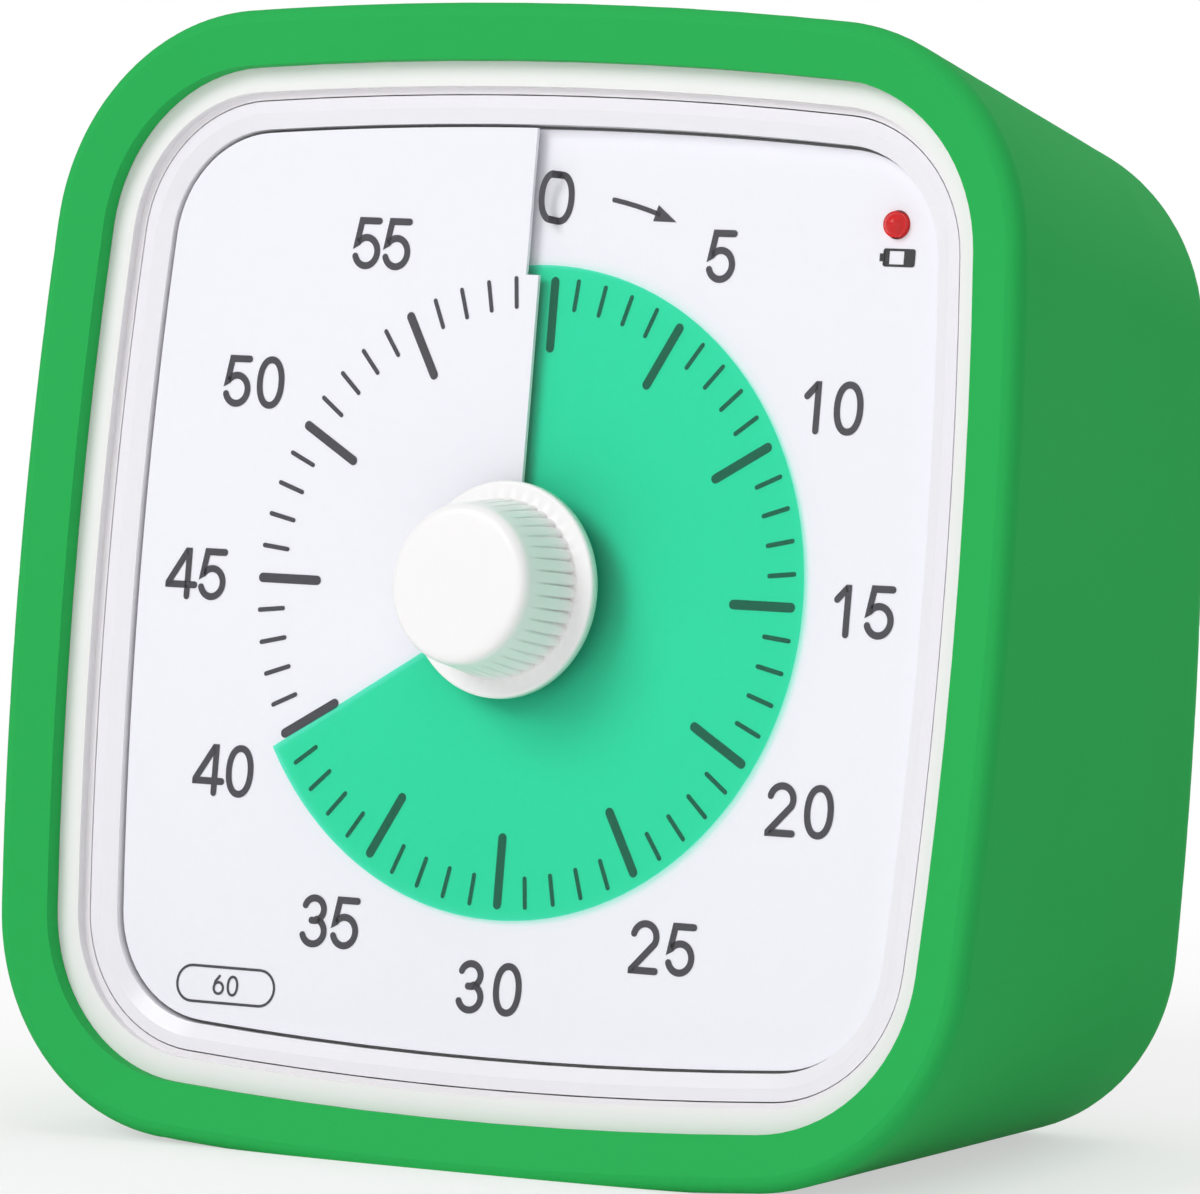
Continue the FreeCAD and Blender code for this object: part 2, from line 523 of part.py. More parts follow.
# Movement plates, pillars, bushes and screws
QUARTERS = [(-1, -1), (-1, 1), (1, -1), (1, 1)]
for name in ("front_plate", "rear_plate"):
    blank = plate(name + "_blank", "plate_side", "plate_side", "plate_wall", depth=name)
    if name == "front_plate":
        legs = [rod(f"stator_leg{number}", "1.2", "fourth_depth + 2.3 - front_plate", x=x,
                    depth="front_plate + 0.6", rise="9.6") for number, x in enumerate(("4", "13.5"))]
        blank = fuse("front_plate_legs", [blank] + legs)
    drills = [rod(f"{name}_drill{number}", "screw_radius + screw_gap", "plate_wall + 2",
                  x=f"{sx} * pillar_place", depth=f"{name} - 1", rise=f"{sz} * pillar_place")
              for number, (sx, sz) in enumerate(QUARTERS)]
    drills.append(rod(name + "_bush_hole", "bush_radius + 0.02", "plate_wall + 2", depth=f"{name} - 1"))
    for number, axis in enumerate((THIRD, FOURTH, ROTOR)):
        pivot = stub(D["arbor_radius"] + D["running_gap"], D[name] - 1.0, D[name] + 4.0, axis[0], axis[1])
        drills.append(feature(f"{name}_pivot{number}", pivot))
    keep(cut("movement_" + name + "_cut", blank, group(name + "_drills", drills)), "movement_" + name)
pillars = []
screws = []
bores = []
for number, (sx, sz) in enumerate(QUARTERS):
    x, rise = f"{sx} * pillar_place", f"{sz} * pillar_place"
    post = rod(f"pillar_rod{number}", "pillar_radius", "rear_plate - front_plate - plate_wall", x=x,
               depth="front_plate + plate_wall", rise=rise)
    bore = rod(f"pillar_bore{number}", "screw_radius + screw_gap", "20", x=x, depth="front_plate", rise=rise)
    pillars.append(cut(f"pillar{number}", post, bore))
    shank = rod(f"screw_shank{number}", "screw_radius", "rear_plate + plate_wall - collar_end - 0.8", x=x,
                depth="collar_end + 0.8", rise=rise)
    head = rod(f"screw_head{number}", "head_radius", "head_wall", x=x, depth="rear_plate + plate_wall", rise=rise)
    slot = block(f"screw_slot{number}", "3", "1", "0.5", x=x, depth="rear_plate + plate_wall + head_wall - 0.5",
                 rise=rise)
    screws.append(cut(f"plate_screw{number}", fuse(f"plate_screw_blank{number}", [shank, head]), slot))
keep(group("pillar_group", pillars), "movement_pillars")
keep(group("plate_screw_group", screws), "movement_screws")
bushes = []
for name, start, length in (("front_bush", "collar_end + 0.1", "front_plate + plate_wall - collar_end - 0.1"),
                            ("rear_bush", "rear_plate - 0.6", "plate_wall + 0.9")):
    tube = rod(name + "_round", "bush_radius", length, depth=start)
    bushes.append(cut(name, tube, rod(name + "_bore", "shaft_radius + running_gap", "40")))
keep(group("bush_group", bushes), "shaft_bushes")

# Stator, coil core, bobbin and winding
stator_depth = D["fourth_depth"] + 2.9
stator = Part.makeBox(24.0, D["stator_wall"], 5.6, V(-8.6, stator_depth, 6.8))
for x in (-1.0, 13.2):
    stator = stator.fuse(Part.makeBox(2.2, D["stator_wall"], 6.0, V(x, stator_depth, 11.0)))
stator = stator.cut(stub(D["magnet_radius"] + 0.3, 0.0, 30.0, ROTOR[0], ROTOR[1]))
keep(feature("stator", stator), "stator")
core_rise = 15.2
coil_start = 1.6
core_depth = stator_depth + D["stator_wall"] + D["core_radius"] + 0.01


def across(radius, start, length):
    """A cylinder along X on the coil's axis."""
    return Part.makeCylinder(radius, length, V(start, core_depth, core_rise), V(1, 0, 0))


keep(feature("coil_core", across(D["core_radius"], -0.9, 16.2)), "coil_core")
bobbin = across(D["core_radius"] + 0.5, coil_start, D["coil_length"])
for x in (coil_start, coil_start + D["coil_length"] - D["bobbin_wall"]):
    bobbin = bobbin.fuse(across(D["coil_radius"] + 0.2, x, D["bobbin_wall"]))
keep(feature("coil_bobbin", bobbin.cut(across(D["core_radius"] + 0.01, -10, 40))), "coil_bobbin")
winding = across(D["coil_radius"], coil_start + D["bobbin_wall"] + 0.01, D["coil_length"] - 2 * D["bobbin_wall"] - 0.02)
keep(feature("coil_winding", winding.cut(across(D["core_radius"] + 0.51, -10, 40))), "coil_winding")

# Indicator light, its leads and its wires to the board
led_front = D["dial_middle"] - 0.75
led = stub(D["led_radius"], led_front + 0.5, led_front + D["led_length"], D["led_x"], D["led_rise"])
dome = Part.makeSphere(D["led_radius"], V(D["led_x"], led_front + D["led_radius"], D["led_rise"]))
keep(feature("indicator_light", led.fuse(dome)), "indicator_light")
lead_end = D["collar_end"] + D["carrier_wall"] + 3.6
leads = []
wires = []
for side in (-1, 1):
    x = D["led_x"] + side * 0.5
    leads.append(stub(D["lead_radius"], led_front + D["led_length"], lead_end, x, D["led_rise"]))
    start = V(x + side * 0.05, lead_end - 0.3, D["led_rise"])
    stop = TILT.multVec(V(14.0 + side * 0.9, D["board_depth"] - 0.35, D["board_rise"] + 3.0))
    wire = Part.makeCylinder(D["wire_radius"], (stop - start).Length, start, stop - start)
    wires.append(wire.cut(stub(D["lead_radius"] + 0.02, led_front, lead_end + 0.02, x, D["led_rise"])))
keep(feature("light_leads", Part.makeCompound(leads)), "light_leads")
keep(feature("light_wires", Part.makeCompound(wires)), "light_wires")

# Circuit board with chip, crystal and zero contact; buzzer; sliding switch
board = plate("board_blank", "board_width", "board_height", "board_wall", depth="board_depth", rise="board_rise")
keep_back(fuse("board_fuse", [board, block("board_tab", "4", "board_wall", "3", x="-board_width / 2 + 5",
                                      depth="board_depth", rise="board_rise - board_height / 2")]), "circuit_board")
chip = block("chip_block", "6", "1.6", "4", x="-8", depth="board_depth - 1.6", rise="board_rise")
keep_back(fuse("chip_fuse", [chip, block("chip_legs", "6.8", "0.3", "3.2", x="-8", depth="board_depth - 0.3",
                                    rise="board_rise")]), "control_chip")
keep_back(group("crystal_group", [rod("crystal_can", "1", "6", x="0", depth="board_depth - 1", rise="board_rise - 3",
                                 turn=FreeCAD.Rotation())]), "quartz_crystal")
sounder = stub(D["buzzer_radius"], back_face - D["shell_wall"] - D["buzzer_wall"], back_face - D["shell_wall"] - 0.01,
               D["buzzer_x"], D["buzzer_rise"])
keep_back(feature("buzzer", sounder), "buzzer")
switch_front = D["board_depth"] + D["board_wall"]
case_back = back_face - D["shell_wall"] - 1.0
switch = Part.makeBox(D["switch_length"], case_back - switch_front, D["switch_height"],
                      V(D["switch_x"] - D["switch_length"] / 2, switch_front, D["board_rise"] - D["switch_height"] / 2))
track = Part.makeBox(D["button_width"] + 2 * D["button_travel"] + 0.4, 10, D["button_height"] + 0.3,
                     V(D["switch_x"] - D["button_width"] / 2 - D["button_travel"] - 0.2, case_back - 1.6,
                       D["board_rise"] - D["button_height"] / 2 - 0.15))
keep_back(feature("switch_body", switch.cut(track)), "switch_body")
button = Part.makeBox(D["button_width"], back_face - 0.1 - case_back + 1.4, D["button_height"],
                      V(D["switch_x"] - D["button_width"] / 2, case_back - 1.4, D["board_rise"] - D["button_height"] / 2))
for rib in (-0.9, 0.0, 0.9):
    button = button.cut(Part.makeBox(0.35, 1.0, 10, V(D["switch_x"] + rib - 0.175, back_face - 0.35, D["board_rise"] - 5)))
keep_back(feature("volume_switch", button), "volume_switch")

# Cell, contacts and battery door
cell_start = -(D["cell_length"] + D["nub_length"]) / 2 + 1.6


def along(radius, start, length):
    """A cylinder along X on the cell's axis."""
    return Part.makeCylinder(radius, length, V(start, D["cell_depth"], D["bay_rise"]), V(1, 0, 0))


cell = along(D["cell_radius"], cell_start, D["cell_length"])
cell = cell.makeFillet(0.6, [e for e in cell.Edges if e.Closed])
cell = cell.fuse(along(D["nub_radius"], cell_start + D["cell_length"] - 0.1, D["nub_length"] + 0.1))
keep_back(feature("cell", cell), "cell")
bay_left = -D["bay_length"] / 2
plus = Part.makeBox(0.4, 11.0, 11.0, V(-bay_left - 0.41, D["cell_depth"] - 5.5, D["bay_rise"] - 5.5))
cell_end = cell_start + D["cell_length"] + D["nub_length"]
plus = plus.fuse(along(1.6, cell_end + 0.02, -bay_left - 0.3 - cell_end))
keep_back(feature("contact_positive", plus), "contact_positive")
minus = Part.makeBox(0.4, 11.0, 11.0, V(bay_left + 0.01, D["cell_depth"] - 5.5, D["bay_rise"] - 5.5))
coil_room = cell_start - bay_left - 0.41
keep_back(feature("contact_negative", minus), "contact_negative")

# Contact spring: half turns of wire, each tilted along the cell's axis so that their ends meet smoothly
wire = D["spring_wire"]
half_turns = 7
coil_start = bay_left + 0.41 + wire
coil_step = (coil_room - 2 * wire - 0.06) / half_turns
INTO_CASE = V(0, 1, 0)


def coil_end(number):
    """The middle of the wire where half turn number begins; the coil widens towards the cell."""
    side = 1 if number % 2 == 0 else -1
    reach = D["spring_radius"] + D["spring_taper"] * number
    return V(coil_start + number * coil_step, D["cell_depth"], D["bay_rise"] + side * reach)


coil_parts = []
for number in range(half_turns):
    start, stop = coil_end(number), coil_end(number + 1)
    turn_axis = INTO_CASE.cross(stop - start)
    if number % 2 == 1:
        turn_axis = -turn_axis
    section = Part.Face(Part.Wire(Part.Circle(start, INTO_CASE, wire).toShape()))
    coil_parts.append(section.revolve((start + stop) * 0.5, turn_axis, 180))
keep_back(feature("contact_spring", coil_parts[0].fuse(coil_parts[1:])), "contact_spring")

door_low = hinge_rise
door = Part.makeBox(D["door_length"], D["door_wall"], D["door_height"] - D["door_wall"] / 2,
                    V(-D["door_length"] / 2, hinge_depth - D["door_wall"] / 2, door_low))
barrel = Part.makeCylinder(D["door_wall"] / 2, D["door_length"],
                           V(-D["door_length"] / 2, hinge_depth, hinge_rise), V(1, 0, 0))
stubs = Part.makeCylinder(D["stub_radius"], D["door_length"] + 2 * D["stub_length"],
                          V(-D["door_length"] / 2 - D["stub_length"], hinge_depth, hinge_rise), V(1, 0, 0))
door = door.fuse([barrel, stubs])
notch = Part.makeCylinder(4.0, 10.0, V(-5.0, hinge_depth + D["door_wall"] / 2 + 3.3, door_low + D["door_height"] - 3.2),
                          V(1, 0, 0))
keep_back(feature("battery_door", door.cut(notch)), "battery_door")

# Case screws
case_screws = []
for x, rise in BOSSES:
    head = stub(D["head_radius"], back_face - D["head_wall"] - 0.08, back_face - 0.1, x, rise)
    shank = stub(D["screw_radius"], front_end + 2.0, back_face - D["head_wall"], x, rise)
    drive = Part.makeBox(2.4, 2.0, 0.5, V(x - 1.2, back_face - 0.6, rise - 0.25))
    drive = drive.fuse(Part.makeBox(0.5, 2.0, 2.4, V(x - 0.25, back_face - 0.6, rise - 1.2)))
    case_screws.append(head.fuse(shank).cut(drive))
keep_back(feature("case_screws", Part.makeCompound(case_screws)), "case_screws")

# Check and write every sub-part
doc.recompute()
for item in doc.Objects:
    if "Invalid" in item.State or "Error" in item.State:
        raise RuntimeError(item.Name + " did not recompute")
os.makedirs("parts", exist_ok=True)
for item in SUBPARTS:
    if item.Shape.isNull() or not item.Shape.isValid():
        raise RuntimeError(item.Label + " is not a valid shape")
    item.Shape.exportStep("parts/" + item.Label + ".step")
    print(item.Label, len(item.Shape.Solids), round(item.Shape.Volume, 2))
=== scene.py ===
"""Dresses the visual countdown timer: rubber cover, white case, printed dial, green disc and knob."""
import logging
import math
from dataclasses import dataclass, field
from enum import Enum
from typing import Callable, Sequence

import bmesh
import bpy
from mathutils import Matrix, Vector


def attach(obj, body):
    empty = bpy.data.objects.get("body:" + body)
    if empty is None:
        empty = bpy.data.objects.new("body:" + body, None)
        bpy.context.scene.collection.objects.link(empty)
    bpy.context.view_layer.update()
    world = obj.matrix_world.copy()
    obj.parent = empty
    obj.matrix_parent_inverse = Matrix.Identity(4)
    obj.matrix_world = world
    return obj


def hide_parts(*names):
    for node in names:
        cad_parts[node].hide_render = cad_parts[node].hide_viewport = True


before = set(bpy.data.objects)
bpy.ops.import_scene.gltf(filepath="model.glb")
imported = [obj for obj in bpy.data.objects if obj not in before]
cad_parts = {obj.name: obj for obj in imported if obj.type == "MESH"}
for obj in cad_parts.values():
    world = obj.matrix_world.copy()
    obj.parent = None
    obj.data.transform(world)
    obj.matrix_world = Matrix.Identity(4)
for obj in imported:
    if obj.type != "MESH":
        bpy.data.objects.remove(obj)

LOG = logging.getLogger("timer")
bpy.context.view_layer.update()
MM = 0.001
Point = tuple[float, float]


class Body(str, Enum):
    """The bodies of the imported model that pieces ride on."""

    CASE = "case_group"
    KNOB = "knob_group"


def srgb(red: int, green: int, blue: int) -> tuple[float, float, float]:
    """Turns an 8-bit colour into the linear values that shaders take.

    Args:
        red: Red from 0 to 255.
        green: Green from 0 to 255.
        blue: Blue from 0 to 255.

    Returns:
        The linear colour.
    """
    def linear(level: int) -> float:
        """One channel."""
        share = level / 255
        return share / 12.92 if share <= 0.04045 else ((share + 0.055) / 1.055) ** 2.4

    return linear(red), linear(green), linear(blue)


@dataclass(frozen=True)
class FaceFrame:
    """The leaning frame of the face: x to the right, depth into the case, rise from the dial's axis."""

    lean: float = math.radians(8.0)
    axis_rise: float = 42.5 * math.cos(math.radians(8.0)) - 0.6
    rim_depth: float = -15.8194

    def at(self, x: float, depth: float, rise: float) -> Vector:
        """A point of the face in metres.

        Args:
            x: Millimetres to the right.
            depth: Millimetres behind the cover's front rim.
            rise: Millimetres above the dial's axis.

        Returns:
            The point in the part's own frame.
        """
        cos, sin = math.cos(self.lean), math.sin(self.lean)
        back = depth * cos + rise * sin + self.rim_depth
        up = rise * cos - depth * sin + self.axis_rise
        return MM * Vector((x, back, up))


@dataclass(frozen=True)
class DialSurface:
    """The dial plate, one turn of a shallow screw, that carries the print."""

    middle: float = 4.3
    wall: float = 0.3
    climb: float = 1.0

    def front(self, x: float, rise: float) -> float:
        """Depth of the plate's front at a point of the face, in millimetres."""
        turn = math.degrees(math.atan2(x, rise)) % 360.0
        return self.middle - self.climb * (turn / 360.0 - 0.5) - self.wall / 2


FACE = FaceFrame()
DIAL = DialSurface()


# Node groups

def moulding_grain() -> bpy.types.NodeTree:
    """Builds the shared grain of moulded surfaces.

    Returns:
        A group that gives a fine height, a slow mottle and a roughness variation.
    """
    group = bpy.data.node_groups.new("moulding_grain", "ShaderNodeTree")
    face = group.interface
    face.new_socket("Size", in_out="INPUT", socket_type="NodeSocketFloat").default_value = 900.0
    face.new_socket("Blotch", in_out="INPUT", socket_type="NodeSocketFloat").default_value = 30.0
    for name in ("Height", "Mottle", "Patina"):
        face.new_socket(name, in_out="OUTPUT", socket_type="NodeSocketFloat")
    nodes, links = group.nodes, group.links
    inlet, outlet = nodes.new("NodeGroupInput"), nodes.new("NodeGroupOutput")
    place = nodes.new("ShaderNodeTexCoord")
    fine = nodes.new("ShaderNodeTexNoise")
    fine.inputs["Detail"].default_value = 3.0
    slow = nodes.new("ShaderNodeTexNoise")
    slow.inputs["Detail"].default_value = 2.0
    rub = nodes.new("ShaderNodeTexNoise")
    rub.inputs["Detail"].default_value = 4.0
    faster = nodes.new("ShaderNodeMath")
    faster.operation = "MULTIPLY"
    faster.inputs[1].default_value = 4.0
    for noise in (fine, slow, rub):
        links.new(place.outputs["Object"], noise.inputs["Vector"])
    links.new(inlet.outputs["Size"], fine.inputs["Scale"])
    links.new(inlet.outputs["Blotch"], slow.inputs["Scale"])
    links.new(inlet.outputs["Blotch"], faster.inputs[0])
    links.new(faster.outputs[0], rub.inputs["Scale"])
    links.new(fine.outputs["Fac"], outlet.inputs["Height"])
    links.new(slow.outputs["Fac"], outlet.inputs["Mottle"])
    links.new(rub.outputs["Fac"], outlet.inputs["Patina"])
    return group


GRAIN = moulding_grain()


@dataclass(frozen=True)
class Finish:
    """A moulded, printed or metal finish.

    The colour swings between tone and shade with the slow mottle, the roughness with the patina.
    """

    name: str
    tone: tuple[float, float, float]
    shade: tuple[float, float, float]
    rough: tuple[float, float] = (0.35, 0.5)
    metallic: float = 0.0
    grain: float = 900.0
    blotch: float = 30.0
    bump: float = 0.05
    bump_height: float = 0.00002
    specular: float = 0.5
    film: tuple[float, float, float] | None = None
    film_share: float = 0.0
    glow: float = 0.0

    def material(self) -> bpy.types.Material:
        """Builds the finish, or finds it where it exists.

        Returns:
            The material.
        """
        title = self.name + "_finish"
        known = bpy.data.materials.get(title)
        if known is not None:
            return known
        made = bpy.data.materials.new(title)
        made.use_nodes = True
        nodes, links = made.node_tree.nodes, made.node_tree.links
        shader = next(node for node in nodes if node.type == "BSDF_PRINCIPLED")
        outlet = next(node for node in nodes if node.type == "OUTPUT_MATERIAL")
        grain = nodes.new("ShaderNodeGroup")
        grain.node_tree = GRAIN
        grain.inputs["Size"].default_value = self.grain
        grain.inputs["Blotch"].default_value = self.blotch
        colour = nodes.new("ShaderNodeMix")
        colour.data_type = "RGBA"
        colour.inputs["A"].default_value = (*self.shade, 1.0)
        colour.inputs["B"].default_value = (*self.tone, 1.0)
        links.new(grain.outputs["Mottle"], colour.inputs["Factor"])
        links.new(colour.outputs["Result"], shader.inputs["Base Color"])
        rough = nodes.new("ShaderNodeMapRange")
        rough.inputs["To Min"].default_value = self.rough[0]
        rough.inputs["To Max"].default_value = self.rough[1]
        links.new(grain.outputs["Patina"], rough.inputs["Value"])
        links.new(rough.outputs["Result"], shader.inputs["Roughness"])
        if self.bump > 0:
            bump = nodes.new("ShaderNodeBump")
            bump.inputs["Strength"].default_value = self.bump
            bump.inputs["Distance"].default_value = self.bump_height
            links.new(grain.outputs["Height"], bump.inputs["Height"])
            links.new(bump.outputs["Normal"], shader.inputs["Normal"])
        shader.inputs["Metallic"].default_value = self.metallic
        shader.inputs["Specular IOR Level"].default_value = self.specular
        if self.glow > 0:
            shader.inputs["Emission Color"].default_value = (*self.tone, 1.0)
            shader.inputs["Emission Strength"].default_value = self.glow
        if self.film is not None:
            clear = nodes.new("ShaderNodeBsdfTransparent")
            clear.inputs["Color"].default_value = (*self.film, 1.0)
            blend = nodes.new("ShaderNodeMixShader")
            blend.inputs["Fac"].default_value = self.film_share
            links.new(clear.outputs[0], blend.inputs[1])
            links.new(shader.outputs[0], blend.inputs[2])
            links.new(blend.outputs[0], outlet.inputs["Surface"])
        return made


class Finishes:
    """Every finish of the timer."""

    cover = Finish("green_rubber", srgb(47, 177, 88), srgb(42, 172, 83), (0.65, 0.76), grain=2600.0,
                   blotch=22.0,
                   bump=0.12, specular=0.06)
    case = Finish("case_white", srgb(246, 243, 244), srgb(241, 238, 240), (0.3, 0.42), grain=1800.0,
                  bump=0.04)
    ring = Finish("ring_white", srgb(246, 244, 247), srgb(242, 240, 245), (0.18, 0.26), bump=0.0)
    knob = Finish("knob_white", srgb(250, 248, 248), srgb(246, 244, 245), (0.3, 0.4), grain=1500.0, bump=0.03)
    window = Finish("window_clear", srgb(250, 250, 252), srgb(246, 246, 250), (0.25, 0.3), bump=0.0,
                    specular=0.1, film=(0.99, 0.99, 0.995), film_share=0.012)
    dial = Finish("dial_card", srgb(247, 246, 251), srgb(244, 243, 249), (0.5, 0.6), grain=3000.0, bump=0.03)
    ink = Finish("dial_ink", srgb(52, 50, 58), srgb(60, 58, 66), (0.45, 0.55), bump=0.0)
    dark_ink = Finish("icon_ink", srgb(22, 20, 24), srgb(30, 28, 32), (0.45, 0.55), bump=0.0)
    disc = Finish("disc_film", srgb(90, 226, 184), srgb(80, 220, 176), (0.3, 0.4), bump=0.02,
                  film=(0.385, 0.995, 0.83), film_share=0.05)
    hub = Finish("hub_green", srgb(84, 214, 172), srgb(76, 206, 164), (0.35, 0.5))
    light = Finish("light_red", srgb(236, 10, 12), srgb(150, 0, 4), (0.08, 0.15), blotch=900.0, bump=0.0,
                   specular=0.2,
                   glow=0.15)
    carrier = Finish("carrier_white", srgb(226, 226, 224), srgb(216, 216, 214), (0.45, 0.6))
    gear = Finish("gear_resin", srgb(232, 226, 206), srgb(222, 216, 196), (0.35, 0.5), blotch=80.0)
    steel = Finish("steel", srgb(196, 197, 200), srgb(176, 178, 182), (0.22, 0.38), metallic=1.0,
                   blotch=300.0)
    brass = Finish("brass", srgb(214, 178, 96), srgb(196, 158, 78), (0.25, 0.4), metallic=1.0, blotch=300.0)
    nickel = Finish("nickel", srgb(214, 210, 202), srgb(198, 194, 186), (0.12, 0.25), metallic=1.0,
                    blotch=250.0)
    magnet = Finish("magnet", srgb(66, 66, 70), srgb(50, 50, 54), (0.4, 0.6), blotch=200.0)
    copper = Finish("copper_wire", srgb(188, 98, 52), srgb(160, 76, 36), (0.25, 0.4), metallic=0.6,
                    blotch=500.0)
    sleeve = Finish("wire_sleeve", srgb(196, 36, 34), srgb(176, 28, 28), (0.4, 0.55), blotch=200.0)
    board = Finish("board_green", srgb(26, 104, 58), srgb(20, 88, 50), (0.3, 0.42), blotch=120.0)
    black = Finish("black_plastic", srgb(38, 38, 40), srgb(30, 30, 32), (0.4, 0.55), blotch=120.0)
    grey = Finish("switch_grey", srgb(150, 151, 155), srgb(140, 141, 145), (0.4, 0.5), blotch=90.0)
    jacket = Finish("cell_jacket", srgb(84, 110, 150), srgb(74, 100, 140), (0.25, 0.38), metallic=0.4,
                    blotch=60.0)


# Mesh helpers

def to_object(name: str, mesh: bmesh.types.BMesh, finish: Finish, body: Body) -> bpy.types.Object:
    """Turns a bmesh into a piece that rides on a body.

    Args:
        name: The piece's name.
        mesh: Its geometry in metres; it is freed.
        finish: Its finish.
        body: The body it moves with.

    Returns:
        The piece.
    """
    data = bpy.data.meshes.new(name)
    mesh.normal_update()
    mesh.to_mesh(data)
    mesh.free()
    data.materials.append(finish.material())
    piece = bpy.data.objects.new(name, data)
    bpy.context.scene.collection.objects.link(piece)
    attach(piece, body.value)
    LOG.info("%s: %d faces", name, len(data.polygons))
    return piece


def dress(finish: Finish, *names: str) -> None:
    """Gives CAD nodes a finish."""
    for name in names:
        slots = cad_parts[name].material_slots
        if not slots:
            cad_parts[name].data.materials.append(finish.material())
        for slot in slots:
            slot.material = finish.material()
        LOG.info("%s dressed as %s", name, finish.name)


def arc(centre: Point, radii: Point, start: float, stop: float, steps: int = 18) -> list[Point]:
    """Points on an ellipse, with angles in degrees counted from the right and up.

    Args:
        centre: The ellipse's middle.
        radii: Its half width and half height.
        start: The first angle.
        stop: The last angle.
        steps: How many stretches it has.

    Returns:
        The points from start to stop.
    """
    points = []
    for step in range(steps + 1):
        angle = math.radians(start + (stop - start) * step / steps)
        points.append((centre[0] + radii[0] * math.cos(angle), centre[1] + radii[1] * math.sin(angle)))
    return points


@dataclass
class Print:
    """Ink laid on a surface: strokes and filled shapes in the plane of the face."""

    lift: float = 0.03
    depth_at: Callable[[float, float], float] = DIAL.front
    mesh: bmesh.types.BMesh = field(default_factory=bmesh.new)
    layer: int = 0

    def _vertex(self, point: Point) -> bmesh.types.BMVert:
        """One vertex just in front of the surface."""
        depth = self.depth_at(*point) - self.lift - 0.004 * (self.layer % 3)
        return self.mesh.verts.new(FACE.at(point[0], depth, point[1]))

    def fill(self, outline: Sequence[Point]) -> None:
        """Fills an outline.

        Args:
            outline: Its points in order.
        """
        area = sum(a[0] * b[1] - b[0] * a[1] for a, b in zip(outline, [*outline[1:], outline[0]]))
        ordered = list(outline) if area > 0 else list(reversed(outline))
        face = self.mesh.faces.new([self._vertex(point) for point in ordered])
        bmesh.ops.triangulate(self.mesh, faces=[face])
        self.layer += 1

    def stroke(self, path: Sequence[Point], width: float, caps: bool = True) -> None:
        """Draws a line of even width with round ends.

        Args:
            path: The middle of the line.
            width: Its width in millimetres.
            caps: Whether the ends are round.
        """
        half = width / 2
        left: list[Point] = []
        right: list[Point] = []
        for number, point in enumerate(path):
            before, after = path[max(number - 1, 0)], path[min(number + 1, len(path) - 1)]
            first = Vector((point[0] - before[0], point[1] - before[1]))
            second = Vector((after[0] - point[0], after[1] - point[1]))
            first = first if first.length > 1e-9 else second
            second = second if second.length > 1e-9 else first
            first.normalize()
            second.normalize()
            along = (first + second).normalized() if (first + second).length > 1e-6 else first
            reach = half / max(abs(along.dot(first)), 0.45)
            left.append((point[0] - along.y * reach, point[1] + along.x * reach))
            right.append((point[0] + along.y * reach, point[1] - along.x * reach))

        rows = [(self._vertex(a), self._vertex(b)) for a, b in zip(left, right)]
        for first, second in zip(rows, rows[1:]):
            self.mesh.faces.new([first[1], second[1], second[0], first[0]])
        if caps:
            for end, inner in ((path[-1], path[-2]), (path[0], path[1])):
                turn = math.degrees(math.atan2(end[1] - inner[1], end[0] - inner[0]))
                self.fill(arc(end, (half, half), turn - 90, turn + 90, 8))
        self.layer += 1

    def loop(self, path: Sequence[Point], width: float) -> None:
        """Draws a closed line of even width.

        Args:
            path: The middle of the line, not repeated at its end.
            width: Its width in millimetres.
        """
        half, count = width / 2, len(path)
        inner, outer = [], []
        for number, point in enumerate(path):
            before, after = path[number - 1], path[(number + 1) % count]
            along = Vector((after[0] - before[0], after[1] - before[1])).normalized()
            outer.append(self._vertex((point[0] + along.y * half, point[1] - along.x * half)))
            inner.append(self._vertex((point[0] - along.y * half, point[1] + along.x * half)))
        for number in range(count):
            other = (number + 1) % count
            self.mesh.faces.new([outer[number], outer[other], inner[other], inner[number]])
        self.layer += 1


